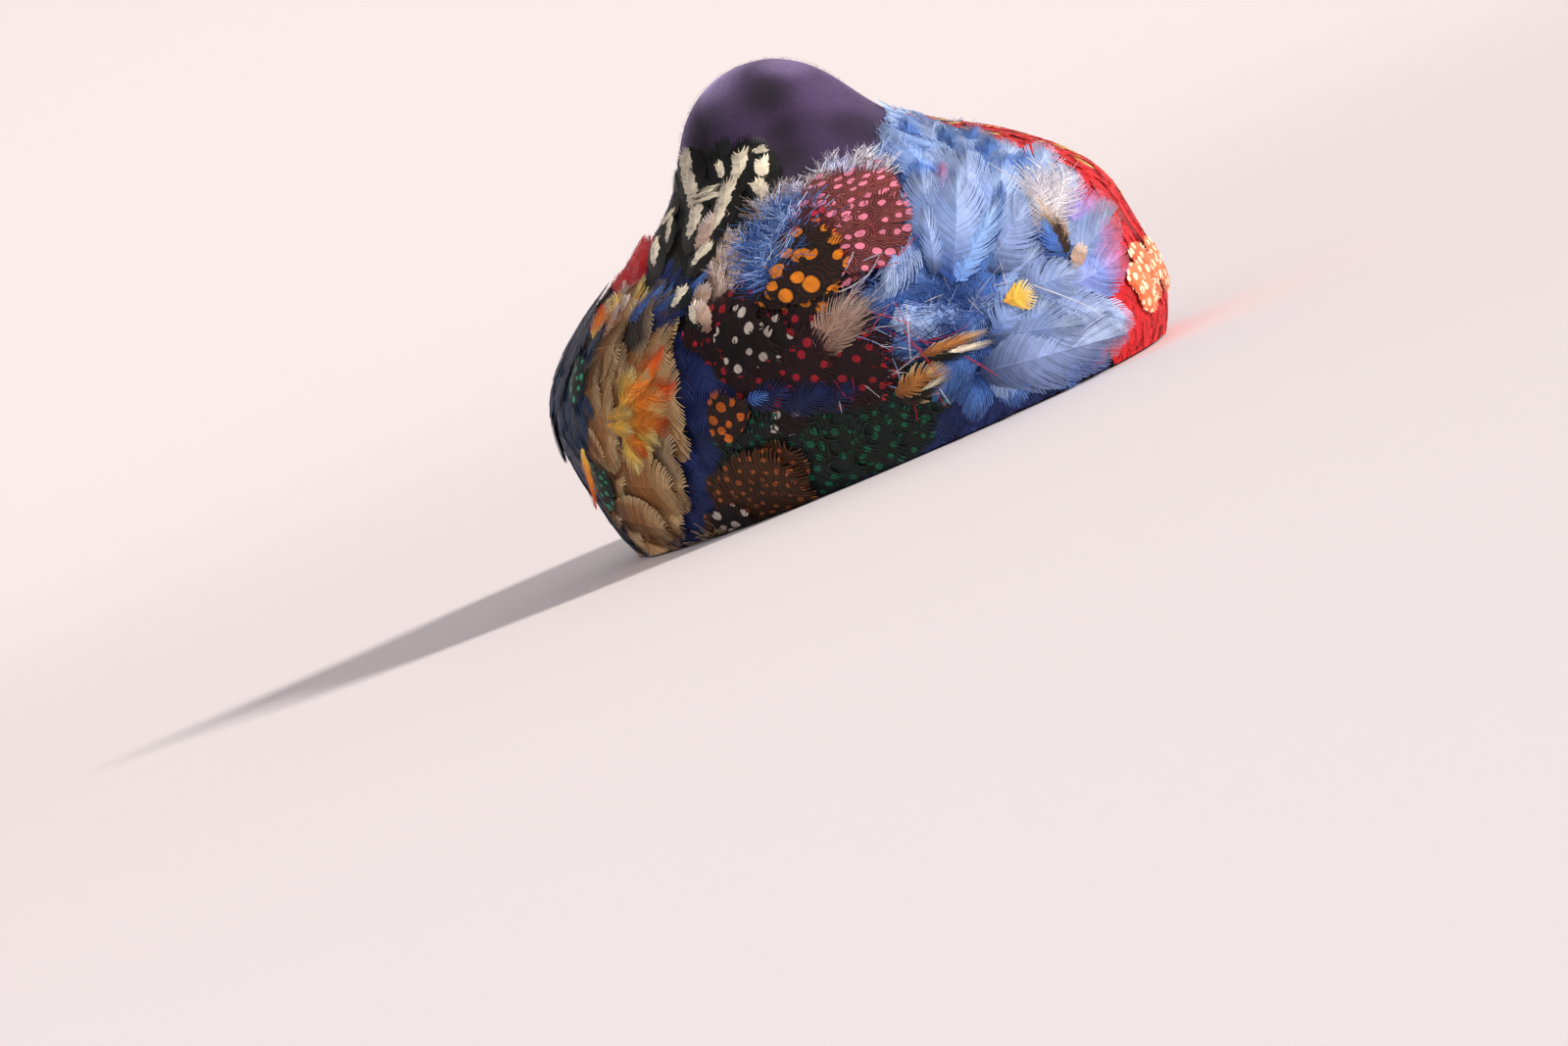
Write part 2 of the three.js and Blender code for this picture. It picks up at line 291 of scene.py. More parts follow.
def feather_finish(name, root, body, tip, other=None, edge=None, spot=None, spot_mm=2.0, spacing_mm=5.0,
                   stretch=1.0, scatter=0.6, ring=None, mark=None, vary=0.4, sheen=0.08):
    """A dyed feather with a root colour that is partly painted shade, a body and a tip colour and, where
    asked, a pale edge, spots or a pale mark.
    """
    material, shader = new_finish(name, Roughness=FEATHER_ROUGHNESS, Specular_IOR_Level=FEATHER_GLOSS,
                                  Sheen_Weight=sheen, Sheen_Roughness=SHEEN_ROUGHNESS)
    vane, place, tone = (add(material, "Attribute", attribute_name=measure).outputs["Vector"]
                         for measure in ("vane", "place", "tone"))
    across, along, barb = add(material, "SeparateXYZ", {"Vector": vane}).outputs
    own_light, own_dye, _ = add(material, "SeparateXYZ", {"Vector": tone}).outputs
    patchy = add(material, "TexNoise", {"Vector": place, "Scale": 1 / PATCHY_MM, "Detail": 3.0})

    # The root colour is partly the feather's own base and partly painted shade where other feathers overlap
    # it.
    layers = [(along, ROOT_AND_SHADE_FADE, root), (along, TIP_FADE, tip)]
    if edge:
        width = add(material, "Math", {0: across}, operation="ABSOLUTE")
        rim = add(material, "Math", {0: width, 1: along}, operation="MAXIMUM")
        layers.append((rim, EDGE_FADE, edge))
    if mark:
        slant = add(material, "Math", dict(enumerate((along, *MARK_SLANT))), operation="MULTIPLY_ADD")
        aside = add(material, "Math", {0: across, 1: MARK_NARROW, 2: slant}, operation="MULTIPLY_ADD")
        ahead = add(material, "Math", dict(enumerate((along, *MARK_CENTRE))), operation="MULTIPLY_ADD")
        ragged = add(material, "Math", dict(enumerate((patchy, *MARK_RAGGED))), operation="MULTIPLY_ADD")
        for part in (aside, ahead):
            ragged = add(material, "Math", {0: part, 1: part, 2: ragged}, operation="MULTIPLY_ADD")
        layers.append((ragged, MARK_FADE, mark))
    if spot:
        turned = add(material, "Mapping", {"Vector": place, "Rotation": (0, 0, SPOT_SLANT),
                                           "Scale": (1 / spacing_mm, 1 / spacing_mm, 1)})
        cells = add(material, "TexVoronoi", {"Vector": turned, "Scale": 1.0, "Randomness": scatter},
                    voronoi_dimensions="2D")
        toward = add(material, "VectorMath", {0: turned, 1: cells.outputs["Position"]}, operation="SUBTRACT")
        unturned = add(material, "Mapping", {"Vector": toward, "Rotation": (0, 0, -SPOT_SLANT),
                                             "Scale": (stretch, 1 / stretch, 1)})
        far = add(material, "VectorMath", {0: unturned}, operation="LENGTH")
        cell = add(material, "SeparateXYZ", {"Vector": cells.outputs["Color"]})
        size = add(material, "Math", dict(enumerate((cell, *SPOT_SIZES))), operation="MULTIPLY_ADD")
        radius = add(material, "Math", {0: size, 1: spot_mm / 2 / spacing_mm}, operation="MULTIPLY")
        far = add(material, "Math", {0: far, 1: radius}, operation="DIVIDE")
        if ring:
            waves = add(material, "Math", {0: far, 1: RING_WAVES}, operation="MULTIPLY")
            rings = add(material, "Math", {0: waves}, operation="SINE", use_clamp=True)
            start, end = RING_FADE
            past = add(material, "MapRange", {"Value": far, "From Min": start, "From Max": end})
            rings = add(material, "Math", {0: rings, 1: past}, operation="MULTIPLY")
            layers.append((rings, WHOLE, ring))
        layers.append((far, SPOT_FADE, spot))

    colour = add(material, "Mix", {"Factor": own_dye, "A": linear(body), "B": linear(other or body)},
                 data_type="RGBA")
    for value, (start, end), shade in layers:
        share = add(material, "MapRange", {"Value": value, "From Min": start, "From Max": end})
        colour = add(material, "Mix", {"Factor": share, "A": colour, "B": linear(shade)}, data_type="RGBA")
    own_range = (vary, FEATHER_LIGHT - vary / 2)
    for value, factor_and_rest in ((barb, BARB_LIGHT), (own_light, own_range), (patchy, PATCHY_LIGHT)):
        light = add(material, "Math", dict(enumerate((value, *factor_and_rest))), operation="MULTIPLY_ADD")
        colour = add(material, "VectorMath", {0: colour, "Scale": light}, operation="SCALE")
    material.node_tree.links.new(colour.outputs["Vector"], shader.inputs["Base Color"])
    return material


print("spots are slanted by", round(math.degrees(SPOT_SLANT)), "degrees")

# %% The dyes
FINISHES = {
    "blue": feather_finish("dyed_goose_blue", "244a98", "80a5e2", "c0d8f6", other="9ab2e8", vary=0.6,
                           sheen=0.3),
    "sky": feather_finish("dyed_goose_sky", "6f9ae2", "88aeea", "b8d4f6", other="9cbaf0", vary=0.4,
                          sheen=0.3),
    # Deep blue: the colour of the darker down and vanes, and also painted shade, laid under the lighter vanes
    # so that the gaps between them read dark.
    "blue_shade": feather_finish("dyed_goose_deep_blue_and_painted_shade", "16305f", "3660ac", "6690d4", other="466ab2",
                                 vary=0.6),
    # Slate: a greyer blue, partly the feathers' own colour and partly painted shade for the vanes low on the
    # right that lie in shade.
    "slate": feather_finish("dyed_goose_slate_and_painted_shade", "24365e", "7a95cc", "bacdea", other="8ea2d2", vary=0.5,
                            sheen=0.25),
    "violet": feather_finish("dyed_goose_violet", "3a5cae", "8296dc", "ea7a98", other="9a8cd2", vary=0.4,
                             sheen=0.3),
    "navy": feather_finish("dyed_hen_navy", "10183a", "22306a", "2a3a76", other="1a2450"),
    "teal": feather_finish("dyed_hen_teal", "101a30", "20324e", "2a4060", other="182644"),
    "pink_spot": feather_finish("guinea_pink", "3c1114", "5e2024", "66262a", other="521a20", ring="98564f",
                                spot="ec86a0", spot_mm=2.2, spacing_mm=4.5, stretch=0.85),
    "rose_spot": feather_finish("guinea_rose", "300c10", "42141a", "4a181c", ring="6a2c2e",
                                spot="cf2c4c", spot_mm=2.6, spacing_mm=4.6),
    "orange_spot": feather_finish("guinea_orange", "0e0706", "150b08", "1a0d09", ring="34180e",
                                  spot="d47a18", spot_mm=3.9, spacing_mm=6.8, stretch=0.9),
    "amber_spot": feather_finish("guinea_amber", "0e0706", "170c08", "1c0e09", ring="34180e",
                                 spot="c4621a", spot_mm=2.5, spacing_mm=4.4),
    "red_spot": feather_finish("guinea_red", "100405", "1b070a", "22090c", other="12060e", ring="360e13",
                               spot="a41a2a", spot_mm=2.1, spacing_mm=5.0, vary=0.6),
    "white_spot": feather_finish("guinea_white", "120707", "1a0a0c", "200e0e",
                                 spot="cdc2b6", spot_mm=2.4, spacing_mm=5.2),
    "green_spot": feather_finish("guinea_green", "070c0b", "0b1311", "0f1916", other="0a1418", ring="1c2a26",
                                 spot="135e45", spot_mm=1.9, spacing_mm=4.4),
    # A lighter copy of the green spotted finish: partly the lighter teal dots of these feathers and partly
    # painted light for the two that lie on the shaded back.
    "jade_spot": feather_finish("guinea_jade_painted_light", "081412", "0e1f1b", "122823", spot="35a47c", spot_mm=1.7,
                                spacing_mm=3.2),
    "brown_spot": feather_finish("guinea_brown", "2a1505", "4c2a0c", "54300f", other="40240a", ring="2a1404",
                                 spot="a6582a", spot_mm=1.4, spacing_mm=3.5, scatter=0.35),
    "cream": feather_finish("hackle_black_cream", "0d0908", "100c0b", "17110e", mark="efe4ca",
                            other="0f1d17"),
    "black": feather_finish("hackle_black", "0a0808", "0f0c0c", "141010", other="0d2019"),
    "tan": feather_finish("partridge_tan", "744422", "c08344", "ce9c5e", other="a2682f", edge="dfbf8c"),
    "brown": feather_finish("partridge_brown", "241509", "452a17", "6e4c2e", other="332012", edge="b79e7c"),
    "fan": feather_finish("dyed_hackle_fan", "f0c850", "f4741c", "ec3a0c", other="f0902c"),
    "yellow": feather_finish("dyed_hackle_yellow", "d89c34", "f2ca5c", "f6e4a6", other="eab844"),
    "red": feather_finish("dyed_hen_red", "a80e18", "d4161f", "e4282e", other="c41226"),
    "gold_spot": feather_finish("guinea_gold", "c8522e", "e07a50", "ea9068", spot="f8e2be", spot_mm=2.0,
                                spacing_mm=3.4),
    "ochre": feather_finish("dyed_hen_ochre", "a04a18", "d08432", "ecc878", other="c46424"),
    "rose_tan": feather_finish("partridge_soft", "8a6a5a", "cdb09e", "efdfd4", other="bb9a86"),
    "white": feather_finish("bleached_tuft", "c2b8b6", "ece8ec", "fdfcff", other="e4e0ec"),
    "lilac": feather_finish("dyed_tuft_lilac", "8088c4", "c2c0e2", "eeeaf6", other="a8b6e8"),
}
print(len(FINISHES), "feather finishes")

# %% [markdown]
# ## One feather
# A feather is a shaft with barbs on both sides. It could be one flat leaf with a picture of barbs, but the
# edge of a real vane is ragged and splits open, and that shows. So each barb here is a narrow strip of its
# own: it leaves the shaft at an angle, curves towards the tip and overlaps the next one. A grid made by an
# operator is the pattern for every strip, and arrays repeat it, because there are many thousands.

# %% The strip that every barb repeats
BARB_STEPS = 3
SHAFT_STEPS = 7


def strip_pattern(steps, parts):
    """Corners (across 0 to 1, along 0 to 1) and faces of a flat strip."""
    strip = bmesh.new()
    bmesh.ops.create_grid(strip, x_segments=parts, y_segments=steps, size=0.5)
    corners = np.array([corner.co[:2] for corner in strip.verts]) + 0.5
    faces = np.array([[corner.index for corner in face.verts] for face in strip.faces])
    strip.free()
    return corners, faces


BARB_CORNERS, BARB_FACES = strip_pattern(BARB_STEPS, 1)
SHAFT_CORNERS, SHAFT_FACES = strip_pattern(SHAFT_STEPS, 2)
print("a barb has", len(BARB_FACES), "faces and a shaft", len(SHAFT_FACES))

# %% Kinds of feather
# spacing: mm between barbs. fill: a barb's width as a share of that, and taper: the share it loses at its
# end. advance: above 1, how far barbs sweep to the tip. widest: where along it is broadest. blunt: below 1
# the ends are rounder. lift: mm that the tip stands up. camber: mm that the edges fall. fray: how unequal
# the barbs are. splits: how many times the vane opens. curl: mm that barb ends rise. shaft: its width in
# mm.
KINDS = {
    "vane": dict(spacing=0.55, fill=1.45, taper=0.3, advance=2.2, widest=0.52, blunt=0.65, lift=3.0,
                 camber=1.2, fray=0.04, splits=7, curl=0.3, shaft=0.55),
    "sleek": dict(spacing=1.0, fill=1.4, taper=0.3, advance=1.8, widest=0.55, blunt=0.45, lift=0.7,
                  camber=0.4, fray=0.05, splits=1, curl=0.05, shaft=0.3),
    "smooth": dict(spacing=0.8, fill=1.6, taper=0.1, advance=1.8, widest=0.55, blunt=0.45, lift=0.5,
                   camber=0.1, fray=0.05, splits=0, curl=0.05, shaft=0.15),
    "round": dict(spacing=0.9, fill=1.45, taper=0.2, advance=1.4, widest=0.58, blunt=0.45, lift=1.1,
                  camber=0.5, fray=0.03, splits=1, curl=0.1, shaft=0.3),
    "scallop": dict(spacing=0.55, fill=1.4, taper=0.15, advance=1.45, widest=0.64, blunt=0.42, lift=1.6,
                    camber=0.4, fray=0.025, splits=1, curl=0.15, shaft=0.35),
    "petal": dict(spacing=0.6, fill=1.3, taper=0.4, advance=2.1, widest=0.66, blunt=0.6, lift=1.8,
                  camber=0.3, fray=0.05, splits=2, curl=0.4, shaft=0.3),
    "hackle": dict(spacing=0.85, fill=1.15, taper=0.45, advance=2.0, widest=0.5, blunt=0.6, lift=1.3,
                   camber=0.4, fray=0.1, splits=2, curl=0.3, shaft=0.3),
    "tuft": dict(spacing=0.45, fill=0.5, taper=0.5, advance=2.2, widest=0.6, blunt=0.6, lift=2.0,
                 camber=0.2, fray=0.3, splits=4, curl=1.2, shaft=0.25),
    "down": dict(spacing=0.45, fill=0.42, taper=0.5, advance=1.4, widest=0.55, blunt=0.5, lift=1.8,
                 camber=0.0, fray=0.45, splits=6, curl=2.0, shaft=0.2),
    "strand": dict(spacing=4.0, fill=0.1, taper=0.5, advance=1.5, widest=0.5, blunt=0.5, lift=2.5,
                   camber=0.0, fray=0.2, splits=0, curl=0.0, shaft=0.28),
}
print("kinds of feather:", ", ".join(KINDS))

# %% Shape the barbs
STEM_SHARE = 0.9
FEWEST_PAIRS = 6
FIRST_BARB = 0.04
OPENING_FRAY = 0.4
SPLIT_BARBS = (3, 9)
SPLIT_OPENING = (-0.14, 0.1)
BARB_SWEEP = 0.35
BARB_BOW = 0.3
BARB_START = 0.15
CURL_SHARES = (0.2, 1.0)
LOOSE_FILL = 0.6
LOOSE_ALONG, LOOSE_ACROSS = 0.08, 0.12
BARB_TWIST = 0.14 * MM
BARB_RISE = 0.12 * MM


def shape_barbs(make, length, width, rand):
    """How far each barb's corners are along, across and over a feather, in metres with one row for each barb,
    and which side of the shaft each barb is on."""
    stem = STEM_SHARE * length
    pairs = max(FEWEST_PAIRS, int(round(stem / (make["spacing"] * MM))))
    each = (2 * pairs, 1)
    shares = np.tile(np.linspace(FIRST_BARB, 1.0, pairs), 2)[:, None]
    hand = np.repeat([1.0, -1.0], pairs)[:, None]
    ends = 1 - (1 - shares)**make["advance"]
    skew = math.log(0.5) / math.log(make["widest"])
    outline = np.maximum(np.sin(math.pi * ends**skew), 0)**make["blunt"]
    ahead, aside = ends * length - shares * stem, 0.5 * width * outline
    opening = rand.normal(0, OPENING_FRAY * make["fray"], each)
    for cut in rand.integers(0, 2 * pairs, make["splits"]):
        opening[cut:cut + rand.integers(*SPLIT_BARBS)] += rand.uniform(*SPLIT_OPENING)
    reach = np.hypot(ahead, aside) * (1 + rand.normal(0, make["fray"], each))
    angle = np.arctan2(aside, ahead) * (1 + opening)

    side, out = BARB_CORNERS.T
    wide = make["spacing"] * MM * make["fill"] * (1 - make["taper"] * out**2)
    swept = (1 - BARB_SWEEP) * out + BARB_SWEEP * out**2
    bowed = (1 + BARB_BOW) * out - BARB_BOW * out**2
    along = shares * stem + reach * np.cos(angle) * swept + (side - 0.5) * wide
    across = hand * (BARB_START * make["shaft"] * MM + reach * np.sin(angle) * bowed)
    curl = rand.uniform(*CURL_SHARES, each) * make["curl"] * MM
    if make["fill"] < LOOSE_FILL:
        along = along + rand.normal(0, LOOSE_ALONG * width, each) * out**2
        across = across + rand.normal(0, LOOSE_ACROSS * width, each) * out**2
    rise = curl * out**2 - make["camber"] * MM * (2 * across / width)**2 + (side - 0.5) * BARB_TWIST
    return along, across, rise + rand.uniform(0, BARB_RISE, each), hand


print("barbs leave the first", STEM_SHARE, "of a shaft")

# %% Shape the shaft
SHAFT_TAPER = 0.75
SHAFT_REACH = 0.97
SHAFT_ROUND = 0.35
SHAFT_RISE = 0.12 * MM


def shape_shaft(make, length):
    """How far the corners of a shaft are along, across and over its feather, in metres."""
    side, out = SHAFT_CORNERS.T
    wide = make["shaft"] * MM
    across = (0.5 - side) * (wide * (1 - SHAFT_TAPER * out))
    rise = (SHAFT_ROUND - np.abs(side - 0.5)) * 0.5 * wide + SHAFT_RISE
    return SHAFT_REACH * length * out, across, rise


print("a shaft reaches", SHAFT_REACH, "of the way to the tip")


# %% Keep the feathers of a piece
class Plumage:
    """The feathers of one piece, kept as arrays until its mesh is made."""

    def __init__(self, seed, side=1):
        self.random = np.random.default_rng(seed)
        self.side = side
        self.points, self.faces, self.finish, self.count = [], [], [], 0
        self.vane, self.place, self.tone = [], [], []
        self.finishes = []

    def keep(self, points, faces, vane, place, tone, finish):
        """Adds a set of strips that share one finish."""
        if finish not in self.finishes:
            self.finishes.append(finish)
        self.points.append(points)
        self.faces.append(faces + self.count)
        self.finish.append(np.full(len(faces), self.finishes.index(finish)))
        self.vane.append(vane)
        self.place.append(place)
        self.tone.append(np.broadcast_to(tone, points.shape))
        self.count += len(points)


print("feathers can be kept")

# %% Lay one feather on the felt
HIDDEN_SIDE_START = math.radians(38)
BARB_SLIP_MM = 0.12
LIFT_END = 1.1
LIFT_CURVE = 1.4
LEAST_HEIGHT = 0.15 * MM
PATTERN_JUMP = (37, 53, 0)
SHAFT_SHADE = 0.8


def spread(turn, climb, lean, along, across):
    """Turns and climbs of places that are so far along and across a feather from its root, in metres."""
    up = climb - along * math.cos(lean) + across * math.sin(lean)
    ahead = along * math.sin(lean) + across * math.cos(lean)
    return turn - ahead / reach_at(np.maximum(up, 0)), up


def lay_feather(plumage, turn, climb, lean, length, width, kind, finish, height, bow=0.0, roll=0.0,
                lift=None):
    """One feather from its root at a turn and climb, leaning from straight down towards the front. Sizes are
    in metres, and lift is in mm. The hidden side leaves out feathers that would cross the front, where the
    red pad is."""
    if plumage.side < 0 and turn - length * math.sin(lean) / reach_at(climb) < HIDDEN_SIDE_START:
        return
    rand = plumage.random
    make = KINDS[kind]
    along, across, rise, hand = shape_barbs(make, length, width, rand)
    tip_lift = (make["lift"] if lift is None else lift) * MM
    tone = rand.random(3)

    def place_strips(along, across, rise, faces, barb, slip):
        bent = across + bow * along**2 / length
        up = height + rise + tip_lift * np.clip(along / length, 0, LIFT_END)**LIFT_CURVE + roll * across
        angle_round, climbs = spread(turn, climb, lean, along, bent)
        points = over_felt(plumage.side * angle_round, climbs, np.maximum(up, LEAST_HEIGHT))
        share_across = np.clip(2 * across / width, -1, 1)
        vane = np.stack([share_across, np.clip(along / length, 0, 1), barb], axis=-1)
        place = np.stack([across / MM, along / MM + slip, np.zeros_like(along)], axis=-1)
        faces = faces if plumage.side > 0 else faces[:, ::-1]
        plumage.keep(points, faces, vane, place + tone * PATTERN_JUMP, tone, finish)

    first = np.arange(len(hand))[:, None, None] * len(BARB_CORNERS)
    faces = np.where((hand > 0)[..., None], BARB_FACES[None], BARB_FACES[None, :, ::-1]) + first
    barb = np.broadcast_to(rand.random(hand.shape), along.shape)
    slip = np.broadcast_to(rand.normal(0, BARB_SLIP_MM, hand.shape), along.shape)
    place_strips(along.ravel(), across.ravel(), rise.ravel(), faces.reshape(-1, 4), barb.ravel(),
                 slip.ravel())
    shade = np.full(len(SHAFT_CORNERS), SHAFT_SHADE)
    place_strips(*shape_shaft(make, length), SHAFT_FACES, shade, 0.0)


print("a feather can be laid")


# %% Make a piece from its feathers
def show(name, mesh):
    """Puts a mesh into the scene."""
    piece = bpy.data.objects.new(name, mesh)
    bpy.context.scene.collection.objects.link(piece)
    return piece


def make_piece(name, plumage, node):
    """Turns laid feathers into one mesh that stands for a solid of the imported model."""
    mesh = bpy.data.meshes.new(name)
    mesh.from_pydata(np.concatenate(plumage.points), [], np.concatenate(plumage.faces))
    for attribute in ("vane", "place", "tone"):
        values = np.concatenate(getattr(plumage, attribute)).astype(np.float32)
        mesh.attributes.new(attribute, "FLOAT_VECTOR", "POINT").data.foreach_set("vector", values.ravel())
    for finish in plumage.finishes:
        mesh.materials.append(FINISHES[finish])
    mesh.polygons.foreach_set("material_index", np.concatenate(plumage.finish))
    mesh.shade_smooth()
    piece = show(name, mesh)
    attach(piece, "root")
    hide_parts(node)
    print(name, "has", 2 * len(mesh.polygons), "triangles")


print("a piece can be made")

# %% [markdown]
# ## The navy ground
# Sleek navy feathers are pasted round the felt in rows, from the rim upwards, so that each row covers the
# roots of the one below it. They show wherever no other patch lies over them. One dark band would do for
# the gaps, but real tips give the gaps their depth.

# %% Lay the ground
GROUND_LOWEST = 16 * MM
GROUND_TOP = 108 * MM
GROUND_ROW = 9.5 * MM
GROUND_STEP = 9.0 * MM
GROUND_LENGTH = 23 * MM
GROUND_WIDTH = 15.5 * MM
GROUND_HEIGHT = 0.3 * MM
FEWEST_IN_ROW = 12
PAST_RIM = 1 * MM

ground = Plumage(seed=11)
rand = ground.random
for row, climb in enumerate(np.arange(GROUND_LOWEST, GROUND_TOP, GROUND_ROW)):
    in_row = max(FEWEST_IN_ROW, int(math.tau * reach_at(climb) / GROUND_STEP))
    for n in range(in_row):
        turn = (n + 0.5 * (row % 2) + rand.uniform(-0.2, 0.2)) / in_row * math.tau
        length = min(GROUND_LENGTH, climb + PAST_RIM) * rand.uniform(0.92, 1.08)
        root_climb = climb + rand.uniform(-1, 1) * MM
        lay_feather(ground, turn, root_climb, rand.normal(0, 0.08), length, GROUND_WIDTH, "sleek", "navy",
                    GROUND_HEIGHT, roll=rand.normal(0, 0.03))
make_piece("navy_ground", ground, "navy_ground_feathers")

# %% [markdown]
# ## The patches
# Each patch was pasted by eye: first an area of small feathers that all point away from one place, and then
# a few feathers that stand out. Both were read from the picture, so they are given in its pixels, and the
# map of the felt turns those into places on the hat. The hidden side repeats each patch as its mirror
# image.

# %% Fill an area of the picture
ROW_SHARE = 0.87
PLACE_VARY = 0.3
AIM_PIXELS = 14
LENGTH_VARY = (0.85, 1.15)
WIDTH_VARY = (0.9, 1.1)
ROLL_VARY = 0.04
NEVER_LEVEL = 1e-9


def from_pixels(root, tip):
    """Where a feather's root is, how it leans and how long it is, from the pixels of its root and its tip."""
    root_turn, root_climb = at_pixel(*root)
    tip_turn, tip_climb = at_pixel(*tip)
    ahead = (root_turn - tip_turn) * reach_at(tip_climb)
    down = root_climb - tip_climb
    return root_turn, root_climb, math.atan2(ahead, down), math.hypot(ahead, down)


def inside(corners, x, y):
    """Whether points lie in a polygon: a line from such a point crosses the edge an odd number of times."""
    odd = np.zeros(x.shape, bool)
    for (x0, y0), (x1, y1) in zip(corners, corners[1:] + corners[:1]):
        crossing = (x1 - x0) * (y - y0) / ((y1 - y0) or NEVER_LEVEL) + x0
        odd ^= ((y0 > y) != (y1 > y)) & (x < crossing)
    return odd


def fill_area(plumage, height, corners, away_from, length, width, spacing, kind, finishes, loose, bow=0.06):
    """Small feathers inside a polygon of pixels that point away from a pixel; the outermost lie lowest."""
    rand = plumage.random
    xs, ys = np.array(corners).T
    down = np.arange(ys.min(), ys.max(), spacing * ROW_SHARE)
    x, y = np.meshgrid(np.arange(xs.min(), xs.max(), spacing), down)
    every_other = 0.5 * spacing * (np.arange(len(x)) % 2)[:, None]
    x = x + every_other + rand.uniform(-PLACE_VARY, PLACE_VARY, x.shape) * spacing
    y = y + rand.uniform(-PLACE_VARY, PLACE_VARY, y.shape) * spacing
    kept = inside(corners, x, y)
    for place in sorted(zip(x[kept], y[kept]), key=lambda place: -math.dist(place, away_from)):
        way = np.subtract(place, away_from) / math.dist(place, away_from)
        turn, climb, lean, _ = from_pixels(place, place + AIM_PIXELS * way)
        lean += rand.normal(0, loose)
        long = length * MM * rand.uniform(*LENGTH_VARY)
        wide = width * MM * rand.uniform(*WIDTH_VARY)
        finish = finishes[rand.integers(len(finishes))]
        root_turn, root_climb = spread(turn, climb, lean, -0.5 * long, 0.0)
        lay_feather(plumage, float(root_turn), float(root_climb), lean, long, wide, kind, finish, height * MM,
                    bow=rand.normal(0, bow), roll=rand.normal(0, ROLL_VARY))


# Areas: corners and away_from are pixels; length and width are mm; spacing is pixels between feathers.
# Feathers: root and tip are pixels; width and lift are mm. Later rows lie over earlier ones, and most
# feathers have their kind's own lift. A patch's height over the felt is in mm.
AREA = ("corners", "away_from", "length", "width", "spacing", "kind", "finishes", "loose", "bow")
FEATHER = ("root", "tip", "width", "kind", "finish", "lift")
PATCHES = {}
print("an area can be filled")

# %% [markdown]
# The blue patch is the largest: long goose vanes that have split open, laid over deep blue ones whose colour
# is partly painted shade for the gaps between them, with white and tan tufts, thin strands and a few curled
# hackles on top. Nearly every long feather can be told apart, so most of them are placed one by one.

